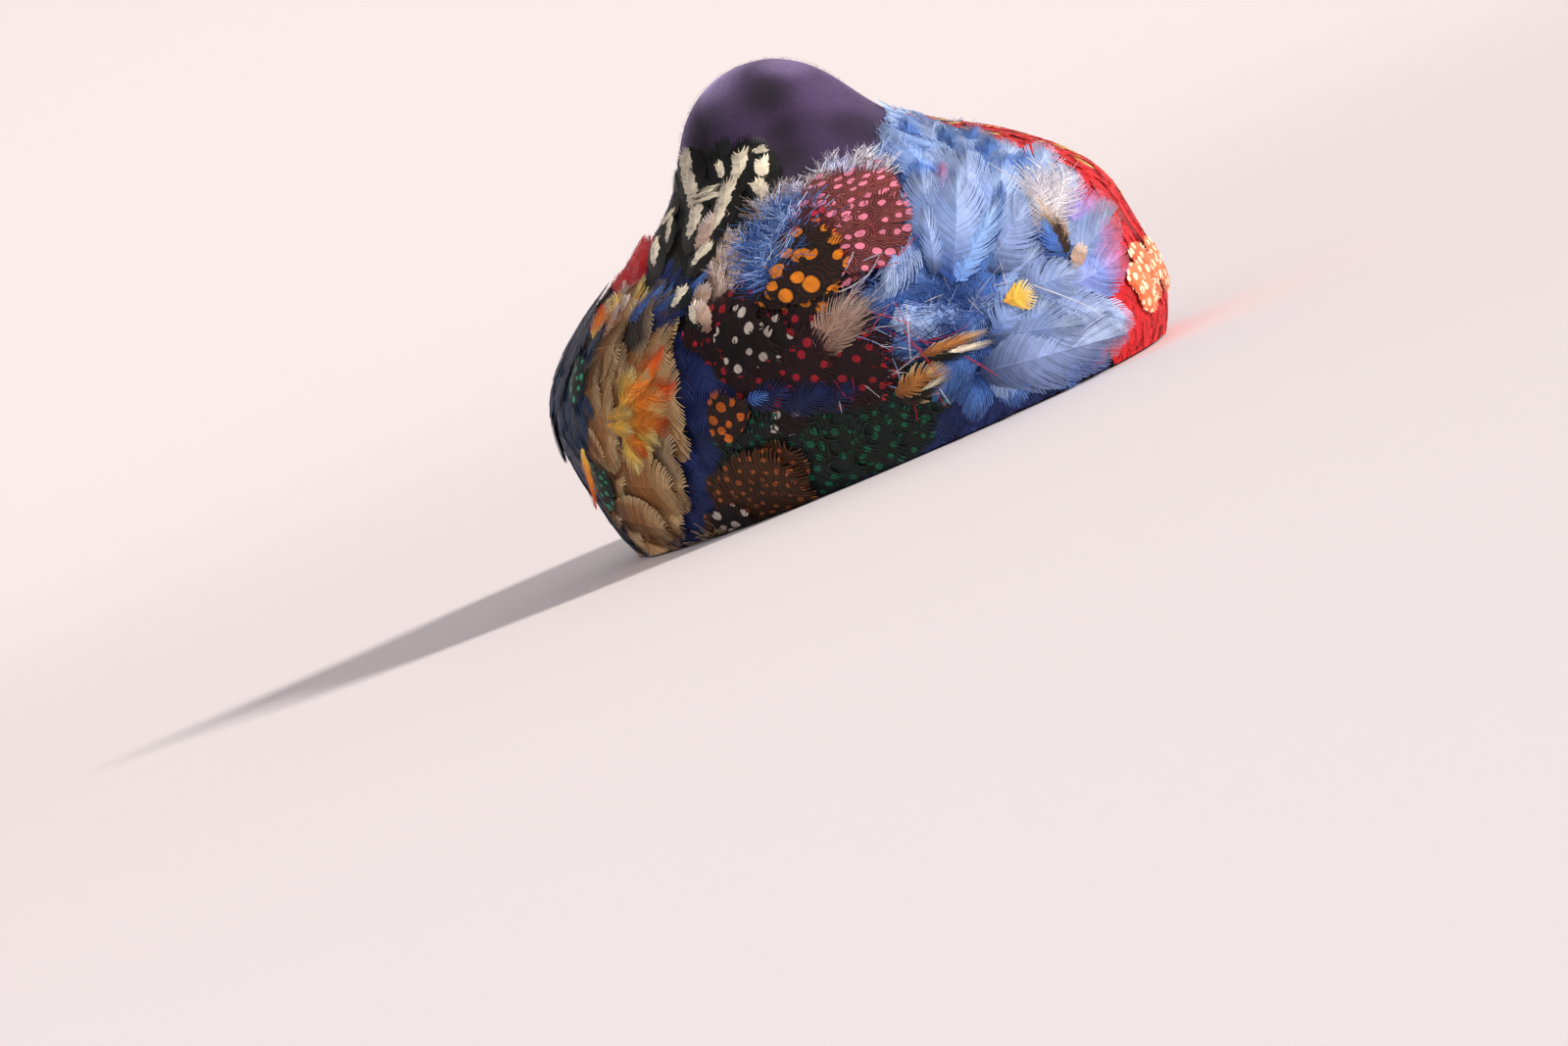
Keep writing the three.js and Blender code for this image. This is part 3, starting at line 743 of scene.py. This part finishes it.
# %% The blue patch
PATCHES["blue"] = dict(slot="blue_feather", height=1.4, areas=[
    ([(920, 152), (970, 150), (1036, 168), (1078, 192), (1105, 228), (1118, 280), (1115, 340), (1040, 386),
      (985, 388), (950, 366), (918, 320), (930, 260), (945, 205), (930, 180)],
     (1000, 305), 24, 13, 24, "vane", ["blue_shade", "blue_shade", "blue"], 0.25),
    ([(905, 300), (960, 285), (1010, 300), (1020, 340), (960, 372), (915, 375)],
     (930, 400), 13, 13, 17, "down", ["blue", "blue_shade", "blue_shade", "navy"], 0.6),
    ([(836, 196), (864, 180), (896, 162), (910, 142), (924, 138), (922, 158), (908, 174), (872, 196)],
     (960, 260), 13, 7, 13, "tuft", ["blue"], 0.3),
    ([(905, 290), (1000, 285), (1112, 290), (1112, 335), (1000, 375), (915, 388)],
     (960, 420), 13, 0.6, 25, "strand", ["white", "lilac", "blue"], 0.9, 0.35),
], feathers=[
    ((1045, 232), (1086, 186), 18, "vane", "slate"),
    ((1035, 214), (1062, 163), 18, "vane", "blue"),
    ((1020, 212), (1012, 148), 18, "vane", "slate", 1.5),
    ((1000, 200), (968, 138), 18, "vane", "blue", 0.6),
    ((985, 195), (930, 124), 15, "vane", "slate", 0.4),
    ((960, 205), (908, 134), 13, "vane", "blue", 0.4),
    ((1024, 168), (948, 132), 8, "hackle", "sky", 0.3),
    ((1000, 164), (912, 126), 8, "hackle", "blue", 0.3),
    ((978, 168), (902, 138), 7, "hackle", "sky", 0.6),
    ((1050, 245), (1112, 208), 17, "vane", "violet"),
    ((1055, 268), (1125, 236), 17, "vane", "violet"),
    ((1055, 300), (1128, 228), 19, "vane", "blue"),
    ((1065, 305), (1138, 272), 16, "vane", "violet"),
    ((1000, 280), (1040, 210), 17, "vane", "slate"),
    ((1005, 270), (1010, 180), 18, "vane", "blue"),
    ((980, 265), (985, 165), 17, "vane", "blue"),
    ((955, 270), (935, 190), 15, "vane", "slate"),
    ((926, 230), (898, 300), 9, "hackle", "slate"),
    ((936, 245), (910, 316), 9, "hackle", "blue"),
    ((1030, 300), (1090, 285), 14, "vane", "slate"),
    ((1060, 315), (1135, 326), 15, "vane", "slate"),
    ((1040, 330), (1120, 318), 15, "vane", "slate"),
    ((1000, 345), (1095, 335), 16, "vane", "slate"),
    ((1010, 350), (1040, 290), 10, "hackle", "blue"),
    ((1025, 352), (1062, 305), 10, "hackle", "blue"),
    ((967, 292), (975, 190), 20, "vane", "blue"),
    ((1000, 262), (1020, 200), 5, "hackle", "blue_shade"),
    ((972, 290), (1012, 212), 9, "hackle", "sky"),
    ((950, 286), (944, 222), 6, "hackle", "slate"),
    ((962, 250), (956, 182), 6, "hackle", "violet"),
    ((990, 380), (1130, 342), 19, "vane", "slate"),
    ((1078, 270), (1052, 232), 10, "hackle", "blue_shade"),
    ((1080, 264), (1056, 226), 8, "hackle", "brown"),
    ((1076, 258), (1042, 206), 11, "hackle", "rose_tan"),
    ((1058, 228), (1038, 188), 11, "tuft", "white"),
    ((1060, 226), (1050, 183), 11, "tuft", "white"),
    ((1064, 228), (1064, 184), 11, "tuft", "white"),
    ((1066, 230), (1078, 194), 10, "tuft", "white"),
    ((1060, 236), (1046, 192), 9, "tuft", "white"),
    ((1066, 238), (1070, 192), 9, "tuft", "white"),
    ((1016, 312), (1044, 302), 8, "petal", "yellow"),
    ((1084, 280), (1093, 258), 4.5, "round", "rose_tan"),
    ((938, 370), (1004, 346), 4, "hackle", "cream"),
    ((936, 362), (998, 338), 4, "hackle", "tan"),
    ((920, 406), (966, 376), 7, "hackle", "brown"),
    ((914, 400), (958, 368), 7, "hackle", "tan"),
    ((926, 404), (960, 382), 3, "hackle", "cream"),
    ((918, 338), (956, 382), 0.8, "strand", "red"),
    ((979, 363), (1006, 380), 0.8, "strand", "red"),
    ((922, 312), (926, 367), 0.7, "strand", "white"),
    ((1044, 296), (1107, 321), 0.6, "strand", "white"),
])
print(len(PATCHES["blue"]["feathers"]), "single feathers in the blue patch")

# %% [markdown]
# Guinea fowl feathers are round, dark and evenly spotted. They were dyed, so that each patch has spots of
# its own colour. Small ones fill the area, and large ones are laid where whole feathers can be seen.

# %% The spotted patches
PATCHES["pink_spot"] = dict(slot="pink_spot_feather", height=3.4, areas=[
    ([(825, 212), (845, 186), (880, 172), (912, 172), (905, 190), (858, 204)],
     (890, 280), 11, 8, 14, "tuft", ["lilac", "lilac", "white"], 0.25),
    ([(826, 262), (826, 222), (848, 196), (888, 186), (908, 206), (908, 245), (885, 270), (855, 286)],
     (600, 480), 19, 15, 24, "round", ["pink_spot"], 0.15),
    ([(850, 280), (900, 250), (925, 230), (918, 270), (880, 310)],
     (800, 330), 11, 0.8, 17, "strand", ["white", "red", "lilac"], 0.6, 0.3),
], feathers=[
    ((806, 268), (842, 222), 11, "round", "rose_spot"),
    ((816, 272), (850, 232), 12, "round", "rose_spot"),
    ((822, 252), (872, 186), 22, "round", "pink_spot"),
    ((834, 268), (898, 184), 24, "round", "pink_spot"),
    ((850, 284), (925, 216), 22, "round", "pink_spot"),
])
PATCHES["orange_spot"] = dict(slot="orange_spot_feather", height=3.4, areas=[
    ([(784, 306), (794, 272), (815, 250), (842, 242), (864, 258), (862, 290), (825, 308)],
     (520, 420), 16, 13, 21, "round", ["orange_spot"], 0.15),
], feathers=[
    ((788, 288), (852, 240), 18, "round", "orange_spot"),
    ((788, 308), (870, 262), 18, "round", "orange_spot"),
])
PATCHES["red_spot"] = dict(slot="red_spot_feather", height=2.4, areas=[
    ([(722, 336), (760, 312), (830, 318), (890, 345), (906, 380), (870, 394), (790, 390), (742, 388)],
     (300, 480), 17, 16, 22, "round", ["red_spot"], 0.25),
    ([(830, 318), (930, 320), (960, 350), (950, 398), (850, 402)],
     (700, 330), 14, 0.8, 18, "strand", ["red", "blue", "red", "white"], 0.8, 0.3),
], feathers=[
    ((736, 352), (784, 330), 13, "round", "white_spot"),
    ((746, 374), (798, 344), 14, "round", "white_spot"),
    ((764, 364), (812, 338), 13, "round", "white_spot"),
    ((738, 448), (746, 396), 8, "round", "amber_spot"),
    ((748, 446), (762, 400), 7, "round", "amber_spot"),
    ((770, 392), (850, 352), 18, "round", "red_spot"),
    ((820, 388), (905, 362), 17, "round", "red_spot"),
    ((770, 410), (812, 390), 9, "hackle", "navy"),
    ((802, 414), (852, 392), 9, "hackle", "navy"),
    ((832, 412), (878, 394), 8, "hackle", "navy"),
    # This small blue hackle is a painted highlight on the navy band.
    ((766, 406), (790, 398), 4, "hackle", "blue_shade"),
    ((832, 362), (868, 306), 9, "hackle", "rose_tan"),
    ((838, 364), (884, 304), 9, "hackle", "rose_tan"),
    ((834, 360), (872, 300), 7, "tuft", "rose_tan"),
    ((842, 362), (890, 304), 7, "tuft", "rose_tan"),
])
PATCHES["green_spot"] = dict(slot="green_spot_feather", height=1.4, areas=[
    ([(742, 452), (775, 424), (850, 408), (890, 392), (950, 388), (948, 418), (890, 474), (820, 490),
      (742, 500)],
     (600, 600), 17, 15, 21, "round", ["green_spot"], 0.25),
], feathers=[
    ((786, 440), (826, 414), 9, "round", "white_spot"),
])
PATCHES["brown_spot"] = dict(slot="brown_spot_feather", height=2.4, areas=[
    ([(744, 542), (744, 490), (780, 474), (810, 476), (824, 490), (812, 512), (775, 534)],
     (700, 640), 18, 17, 24, "round", ["brown_spot"], 0.15),
    ([(715, 545), (770, 528), (790, 525), (760, 550), (720, 560)],
     (740, 480), 9, 8, 12, "tuft", ["brown"], 0.4),
], feathers=[
    ((756, 542), (824, 482), 20, "round", "brown_spot"),
    ((750, 538), (804, 458), 24, "round", "brown_spot"),
    ((732, 530), (772, 514), 10, "round", "white_spot"),
])
print(len(PATCHES), "patches so far")

# %% [markdown]
# Behind the spots lie a tuft of loose blue down and black feathers with cream marks. The black ones are
# kept low and sleek, because the felt's outline shows there, and the cream marks were placed one by one.

# %% The down, and the black and cream patch
PATCHES["blue_down"] = dict(slot="blue_down", height=3.2, areas=[
    ([(766, 300), (768, 245), (795, 222), (826, 218), (838, 234), (812, 256), (788, 296)],
     (745, 420), 13, 12, 13, "down", ["blue_shade", "blue_shade", "blue_shade", "blue"], 0.5),
    ([(762, 232), (790, 208), (840, 196), (846, 210), (800, 226)],
     (790, 330), 10, 8, 11, "tuft", ["rose_tan", "blue", "lilac"], 0.35),
], feathers=[])
PATCHES["black_cream"] = dict(slot="black_cream_feather", height=1.2, areas=[
    ([(698, 166), (780, 160), (790, 195), (772, 235), (740, 330), (690, 328), (664, 312), (675, 257),
      (690, 212)],
     (690, 520), 15, 9, 13, "sleek", ["black"], 0.3),
    ([(728, 316), (732, 264), (746, 246), (760, 252), (758, 290), (748, 318)],
     (730, 420), 14, 7, 11, "hackle", ["rose_tan"], 0.3),
    ([(732, 316), (738, 264), (752, 246), (760, 256), (752, 314)],
     (725, 420), 14, 8, 17, "tuft", ["rose_tan"], 0.3),
], feathers=[
    ((722, 230), (707, 174), 11, "round", "cream"),
    ((714, 208), (706, 152), 13, "round", "cream"),
    ((770, 178), (714, 208), 6, "petal", "cream"),
    ((766, 188), (716, 216), 6, "petal", "cream"),
    ((733, 254), (750, 187), 11, "round", "cream"),
    ((710, 264), (720, 211), 10, "round", "cream"),
    ((724, 266), (737, 220), 11, "round", "rose_tan"),
    ((728, 262), (739, 222), 8, "round", "cream"),
    ((761, 202), (756, 158), 9, "round", "cream"),
    ((748, 197), (739, 169), 5, "round", "cream"),
    ((764, 168), (786, 157), 7, "round", "cream"),
    ((793, 198), (775, 170), 8, "round", "cream"),
    ((802, 212), (771, 194), 8, "round", "cream"),
    ((698, 206), (684, 240), 8, "round", "cream"),
    ((689, 264), (694, 229), 5, "round", "cream"),
    ((681, 288), (680, 251), 7, "round", "cream"),
    ((713, 290), (730, 256), 9, "round", "cream"),
    ((694, 330), (708, 298), 8, "round", "cream"),
    ((718, 324), (728, 297), 6, "round", "rose_tan"),
    ((730, 342), (716, 317), 6, "round", "rose_tan"),
    ((724, 340), (712, 318), 6, "round", "cream"),
])
print(len(PATCHES), "patches so far")

# %% [markdown]
# Near the back, broad tan feathers overlap like scales, with a fan of yellow and orange petals in the
# middle. A few red hackles stand above them.

# %% The tan fan, and the red patch above it
PATCHES["tan_fan"] = dict(slot="tan_feather", height=1.4, areas=[
    ([(604, 340), (622, 312), (655, 310), (676, 345), (680, 390), (680, 500), (675, 555), (645, 562),
      (615, 520), (600, 430)],
     (540, 430), 20, 20, 24, "scallop", ["tan"], 0.2),
    ([(662, 320), (668, 290), (700, 290), (712, 320), (690, 330)],
     (640, 360), 14, 9, 13, "hackle", ["blue_shade", "navy"], 0.3),
    ([(626, 335), (634, 304), (655, 296), (660, 318), (645, 338)],
     (615, 380), 13, 7, 10, "hackle", ["yellow", "yellow", "rose_tan"], 0.3),
], feathers=[
    ((640, 350), (678, 322), 20, "scallop", "brown"),
    ((634, 378), (694, 352), 24, "scallop", "tan"),
    ((634, 488), (700, 492), 24, "scallop", "tan"),
    ((634, 520), (694, 530), 20, "scallop", "tan"),
    ((636, 444), (700, 452), 24, "scallop", "brown"),
    ((636, 404), (704, 398), 26, "scallop", "tan"),
    ((648, 332), (688, 296), 9, "hackle", "blue_shade"),
    ((658, 336), (702, 304), 9, "hackle", "blue_shade"),
    ((664, 344), (708, 318), 9, "hackle", "navy"),
    ((641, 412), (657, 374), 8, "petal", "yellow"),
    ((644, 418), (675, 376), 8, "petal", "yellow"),
    ((645, 422), (692, 402), 8, "petal", "yellow"),
    ((645, 426), (690, 418), 7, "petal", "yellow"),
    ((646, 430), (686, 444), 8, "petal", "yellow"),
    ((646, 434), (678, 464), 8, "petal", "yellow"),
    ((644, 434), (664, 478), 7, "petal", "yellow"),
    ((641, 418), (690, 356), 8, "petal", "fan"),
    ((641, 422), (700, 386), 8, "petal", "fan"),
    ((643, 430), (697, 427), 8, "petal", "fan"),
    ((643, 434), (674, 460), 6, "petal", "fan"),
    ((630, 424), (660, 414), 5, "petal", "yellow"),
    ((630, 430), (662, 438), 5, "petal", "yellow"),
    ((616, 352), (628, 322), 8, "petal", "fan"),
    ((606, 452), (624, 510), 5, "hackle", "fan"),
    ((632, 512), (623, 466), 9, "round", "jade_spot"),
    ((598, 412), (608, 368), 9, "round", "jade_spot"),
])
PATCHES["red_back"] = dict(slot="scarlet_feather", height=1.4, areas=[
    ([(626, 312), (644, 274), (662, 248), (674, 252), (660, 285), (640, 312)],
     (620, 420), 14, 8, 11, "hackle", ["red"], 0.2),
], feathers=[])
print(len(PATCHES), "patches, each made for both sides")

# %% Lay the patches
FIRST_PATCH_SEED = 100
OVER_AREA_MM = 0.9
ROW_RISE = 0.07 * MM

for number, (patch, parts) in enumerate(PATCHES.items()):
    for side_name, side in (("right", 1), ("left", -1)):
        plumage = Plumage(seed=FIRST_PATCH_SEED + 2 * number + (side < 0), side=side)
        rand = plumage.random
        for row in parts["areas"]:
            fill_area(plumage, parts["height"], **dict(zip(AREA, row)))
        for order, row in enumerate(parts["feathers"]):
            one = dict(zip(FEATHER, row))
            turn, climb, lean, length = from_pixels(one["root"], one["tip"])
            height = (parts["height"] + OVER_AREA_MM) * MM + order * ROW_RISE
            lay_feather(plumage, turn, climb, lean, length, one["width"] * MM, one["kind"], one["finish"],
                        height, bow=rand.normal(0, 0.05), roll=rand.normal(0, 0.03), lift=one.get("lift"))
        make_piece(f"{patch}_{side_name}", plumage, f"{patch}_{side_name}_feathers")

# %% [markdown]
# ## Front and back
# The front is a pad of short red feathers and the back is teal and green. Most of them lie round the
# outline where single feathers can't be read, so these patches are filled in rows within the area of their
# solid.

# %% Fill an oval in rows
ROW_STEP = 0.3
PLACE_STEP = 0.5
OVAL_EDGE = 1.05
ROOT_BACK = (0.5, 0.7)
ASIDE_VARY = 0.15
LEAN_VARY = 0.2


def fill_oval(plumage, turn, climb, along, across, lean, length, width, kind, finishes, height):
    """Rows of feathers over an oval, from its lower edge up, so that each row covers the roots below it."""
    rand = plumage.random
    turn, lean = math.radians(turn), math.radians(lean)
    for row in np.arange(along, -along, -length * ROW_STEP):
        for place in np.arange(-across, across, width * PLACE_STEP):
            if (row / along)**2 + (place / across)**2 > OVAL_EDGE:
                continue
            root_along = (row - rand.uniform(*ROOT_BACK) * length) * MM
            root_across = (place + rand.normal(0, ASIDE_VARY) * width) * MM
            root_turn, root_climb = spread(turn, climb * MM, lean, root_along, root_across)
            own_lean = lean + rand.normal(0, LEAN_VARY)
            long = length * rand.uniform(*LENGTH_VARY) * MM
            wide = width * rand.uniform(*LENGTH_VARY) * MM
            finish = finishes[rand.integers(len(finishes))]
            lay_feather(plumage, float(root_turn), float(root_climb), own_lean, long, wide, kind, finish,
                        height * MM, roll=rand.normal(0, ROLL_VARY))


print("an oval can be filled")

# %% Lay the front and the back
# turn and lean: degrees. climb, along, across, length, width, height: mm. Each patch has its slot, its
# ovals and its areas.
FIRST_OVAL_SEED = 300
AREA_HEIGHT_MM = 3.0
OVAL = ("turn", "climb", "along", "across", "lean", "length", "width", "kind", "finishes", "height")
OVALS = {
    "red_front": ("red_feather", [
        (8, 38, 40, 30, 0, 13, 9, "smooth", ["red"], 1.6),
        (-20, 38, 40, 30, 0, 13, 9, "smooth", ["red"], 2.0),
        (-6, 12, 11, 36, 0, 11, 9, "smooth", ["red"], 1.5),
    ], [
        ([(1146, 262), (1162, 252), (1178, 268), (1182, 300), (1166, 310), (1150, 292)],
         (1000, 300), 10, 9, 12, "round", ["gold_spot"], 0.2),
    ]),
    "red_top": ("scarlet_feather", [
        (-6, 96, 12, 18, 0, 12, 8, "sleek", ["sky"], 0.8),
        (-6, 108, 6, 16, 180, 11, 6, "hackle", ["sky", "blue"], 0.5),
        (-30, 101, 9, 20, 0, 12, 7, "sleek", ["ochre", "ochre", "navy", "red"], 1.2),
        (-18, 69, 20, 28, 0, 11, 8, "smooth", ["red", "red", "red", "red", "ochre"], 2.4),
    ], []),
    "teal_back": ("teal_feather", [
        (161, 42, 36, 38, 0, 26, 15, "sleek", ["teal"], 1.4),
        (163, 62, 12, 26, 0, 25, 15, "sleek", ["teal"], 2.8),
    ], []),
    "green_back": ("green_spot_feather", [(-160, 36, 33, 23, 0, 18, 14, "round", ["green_spot"], 1.4)], []),
}
for number, (patch, (slot, ovals, areas)) in enumerate(OVALS.items()):
    plumage = Plumage(seed=FIRST_OVAL_SEED + number)
    for row in ovals:
        fill_oval(plumage, **dict(zip(OVAL, row)))
    for row in areas:
        fill_area(plumage, AREA_HEIGHT_MM, **dict(zip(AREA, row)))
    make_piece(patch, plumage, f"{patch}_feathers")

# %% [markdown]
# ## The felt crown
# The crown is one piece of wool felt, blocked over a form and left bare on top. The solid has flat facets,
# so a copy of it is merged, its triangles are joined to squares and a subdivision surface rounds it. A cut
# close to the rim keeps the edge crisp.

# %% Round the felt
RIM_SUPPORT = 0.7 * MM
JOIN_BEND, JOIN_SHAPE = 1.0, 1.5

felt_mesh = bmesh.new()
felt_mesh.from_mesh(nodes["felt_crown"].data)
bmesh.ops.remove_doubles(felt_mesh, verts=felt_mesh.verts, dist=MERGE_GAP)
bmesh.ops.join_triangles(felt_mesh, faces=felt_mesh.faces, angle_face_threshold=JOIN_BEND,
                         angle_shape_threshold=JOIN_SHAPE)
bmesh.ops.bisect_plane(felt_mesh, geom=felt_mesh.verts[:] + felt_mesh.edges[:] + felt_mesh.faces[:],
                       plane_co=(0, 0, RIM_SUPPORT), plane_no=(0, 0, 1))
mesh = bpy.data.meshes.new("felt_crown_rounded")
felt_mesh.to_mesh(mesh)
felt_mesh.free()
mesh.shade_smooth()
felt = show("felt_crown_rounded", mesh)
rounding = felt.modifiers.new("rounding", "SUBSURF")
rounding.levels = rounding.render_levels = 2
print("felt has", len(mesh.polygons), "faces before rounding")

# %% The finish of the felt
# Wool felt: matted fibres brushed into a short nap, dyed plum. It is matt and its edge glows where light
# catches the fibre ends. Its colour also carries painted highlights on the upper outline, and painted shade
# in the dimple, down the pinch below it, on both sides and where it meets the blue feathers.
CLOUD_MM = 16
FIBRE_MM = 0.5
FIBRE_BUMP, FIBRE_DEPTH = 0.6, 0.2 * MM
MARK_MIDDLE = 0.2
# Painted highlights and painted shade on the felt: pixel, radius in mm, colour, how much. The first three are
# painted highlights and the rest are painted shade.
FELT_PAINTED_LIGHT_AND_SHADE = [
    ((726, 86), 13, "9a8cba", 0.5),
    ((800, 64), 12, "8878a4", 0.5),
    ((842, 96), 14, "62507e", 0.4),
    ((779, 95), 11, "141014", 0.8),
    ((798, 136), 8, "160e1a", 0.75),
    ((803, 162), 10, "160e1a", 0.9),
    ((712, 132), 12, "140e16", 0.85),
    ((876, 130), 13, "20122a", 0.85),
    ((824, 180), 11, "1a0f22", 0.85),
]

plum, plum_shader = new_finish("wool_felt_plum", Roughness=0.95, Sheen_Weight=1.0, Sheen_Roughness=0.35,
                               Sheen_Tint=linear("c4b4e6"))
where = add(plum, "TexCoord").outputs["Object"]
cloud = add(plum, "TexNoise", {"Vector": where, "Scale": 1 / (CLOUD_MM * MM), "Detail": 3.0})
fibre = add(plum, "TexNoise", {"Vector": where, "Scale": 1 / (FIBRE_MM * MM), "Detail": 2.0})
tint = add(plum, "Mix", {"Factor": cloud, "A": linear("241628"), "B": linear("46315c")}, data_type="RGBA")
# Each mark paints its highlight or its shade into the felt's colour, strongest at its middle.
for pixel, radius_mm, shade, most in FELT_PAINTED_LIGHT_AND_SHADE:
    painted_mark_centre = over_felt(*(np.array([value]) for value in at_pixel(*pixel)), np.array([0.0]))[0]
    away = add(plum, "VectorMath", {0: where, 1: tuple(painted_mark_centre)}, operation="DISTANCE")
    close = add(plum, "MapRange", {"Value": away, "From Min": radius_mm * MM,
                                   "From Max": MARK_MIDDLE * radius_mm * MM, "To Max": most},
                interpolation_type="SMOOTHSTEP")
    tint = add(plum, "Mix", {"Factor": close, "A": tint, "B": linear(shade)}, data_type="RGBA")
fleck = add(plum, "MapRange", {"Value": fibre, "From Min": 0.3, "From Max": 0.7, "To Min": 0.75,
                               "To Max": 1.3})
tint = add(plum, "VectorMath", {0: tint, "Scale": fleck}, operation="SCALE")
bump = add(plum, "Bump", {"Height": fibre, "Strength": FIBRE_BUMP, "Distance": FIBRE_DEPTH})
plum.node_tree.links.new(tint.outputs["Vector"], plum_shader.inputs["Base Color"])
plum.node_tree.links.new(bump.outputs["Normal"], plum_shader.inputs["Normal"])
felt.data.materials.append(plum)
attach(felt, "root")
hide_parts("felt_crown")
# The marks counted here are the painted highlights and painted shade in the felt's colour.
print("felt finished, with", len(FELT_PAINTED_LIGHT_AND_SHADE), "marks in its nap")

# %% [markdown]
# Brushed felt has a nap, a haze of fibre ends that softens its outline. Hair strands would do it, but a few
# thousand thin blades, drawn thicker than the real fibres so that they still show, are lighter and stay
# where they are put.

# %% Brush up the nap
NAP_COUNT = 14000
NAP_LOWEST = 92 * MM
NAP_LENGTH = 0.6 * MM
NAP_WIDTH = 0.04 * MM

rand = np.random.default_rng(7)
nap_climb = FELT_CLIMB - (FELT_CLIMB - NAP_LOWEST) * np.sqrt(rand.random(NAP_COUNT))
nap_turn = rand.random(NAP_COUNT) * math.tau
way = rand.random(NAP_COUNT) * math.tau
aside_turn = NAP_WIDTH * np.cos(way) / reach_at(nap_climb)
aside_climb = NAP_WIDTH * np.sin(way)
flat = NAP_LENGTH * rand.uniform(0.2, 0.9, NAP_COUNT)
tip_turn = nap_turn + flat * np.sin(way) / reach_at(nap_climb)
tip_climb = nap_climb - flat * np.cos(way)
height = NAP_LENGTH * rand.uniform(0.3, 0.8, NAP_COUNT)
blades = np.stack([over_felt(nap_turn - aside_turn, nap_climb - aside_climb, np.zeros(NAP_COUNT)),
                   over_felt(nap_turn + aside_turn, nap_climb + aside_climb, np.zeros(NAP_COUNT)),
                   over_felt(tip_turn, tip_climb, height)], axis=1)
mesh = bpy.data.meshes.new("felt_nap")
mesh.from_pydata(blades.reshape(-1, 3), [], np.arange(3 * NAP_COUNT).reshape(-1, 3))
mesh.materials.append(plum)
nap = show("felt_nap", mesh)
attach(nap, "root")
print("nap has", NAP_COUNT, "blades")

# %% [markdown]
# ## Floor and light
# A pale sweep of paper runs from the floor up behind the hat, so no horizon shows. A low sun on the right
# lights the front and models the feathers, a weak pale lamp fills the shade on the left, and the room adds
# soft light from all round. Lamps alone would leave the shade too dark for the navy feathers.

# %% Make the sweep
# Matt paper: rough, uncoated and nearly white, so it takes soft shadows and shows no reflections.
SWEEP_HALF_WIDTH = 4.0
SWEEP_BEHIND = 1.6
SWEEP_RADIUS = 1.0
SWEEP_FRONT = 2.5
SWEEP_TOP = 4.0
SWEEP_STEPS = 16

sweep_mesh = bmesh.new()
edge = [sweep_mesh.verts.new((-SWEEP_HALF_WIDTH, y, 0)) for y in (-SWEEP_FRONT, SWEEP_BEHIND)]
sweep_mesh.edges.new(edge)
bend = bmesh.ops.spin(sweep_mesh, geom=[edge[1]], cent=(0, SWEEP_BEHIND, SWEEP_RADIUS), axis=(1, 0, 0),
                      angle=math.pi / 2, steps=SWEEP_STEPS)
top = [v for v in bend["geom_last"] if isinstance(v, bmesh.types.BMVert)]
raised = bmesh.ops.extrude_vert_indiv(sweep_mesh, verts=top)["verts"]
bmesh.ops.translate(sweep_mesh, verts=raised, vec=(0, 0, SWEEP_TOP))
wide = bmesh.ops.extrude_edge_only(sweep_mesh, edges=sweep_mesh.edges[:])["geom"]
bmesh.ops.translate(sweep_mesh, verts=[v for v in wide if isinstance(v, bmesh.types.BMVert)],
                    vec=(2 * SWEEP_HALF_WIDTH, 0, 0))
bmesh.ops.recalc_face_normals(sweep_mesh, faces=sweep_mesh.faces)
bmesh.ops.rotate(sweep_mesh, verts=sweep_mesh.verts, cent=(0, 0, 0),
                 matrix=Matrix.Rotation(VIEW_TURN, 3, "Z"))
mesh = bpy.data.meshes.new("paper_sweep")
sweep_mesh.to_mesh(mesh)
sweep_mesh.free()
mesh.shade_smooth()
sweep = show("paper_sweep", mesh)
paper, _ = new_finish("matt_paper", Roughness=0.9, Base_Color=linear("f1ecee"))
sweep.data.materials.append(paper)
print("sweep has", len(mesh.polygons), "faces")

# %% Light it
HAT_MIDDLE = Vector((0, 0, 50 * MM))
SUN_STRENGTH = 3.6
SUN_SPREAD = math.radians(8)
FILL_WATTS = 3
FILL_SIZE = 1.2
ROOM_STRENGTH = 0.33


def hang(name, kind, strength, colour, right, up, back):
    """A lamp that points at the hat from so many metres right and up in the picture, and to the camera."""
    lamp = bpy.data.objects.new(name, bpy.data.lights.new(name, kind))
    lamp.data.energy = strength
    lamp.data.color = linear(colour)[:3]
    lamp.location = HAT_MIDDLE + view_right * right + view_up * up - forward * back
    lamp.rotation_euler = (HAT_MIDDLE - lamp.location).to_track_quat("-Z", "Y").to_euler()
    bpy.context.scene.collection.objects.link(lamp)
    return lamp


sun = hang("low_sun", "SUN", SUN_STRENGTH, "fff6ee", right=1.9, up=2.2, back=1.15)
sun.data.angle = SUN_SPREAD
fill = hang("fill", "AREA", FILL_WATTS, "f3efff", right=-0.8, up=0.6, back=1.2)
fill.data.size = FILL_SIZE
world = bpy.data.worlds.new("pale_room")
world.use_nodes = True
room = world.node_tree.nodes["Background"]
room.inputs["Color"].default_value = linear("fff8f7")
room.inputs["Strength"].default_value = ROOM_STRENGTH
bpy.context.scene.world = world
bpy.context.scene.view_settings.view_transform = "Standard"
print("lit by", sun.name, fill.name, "and", world.name)
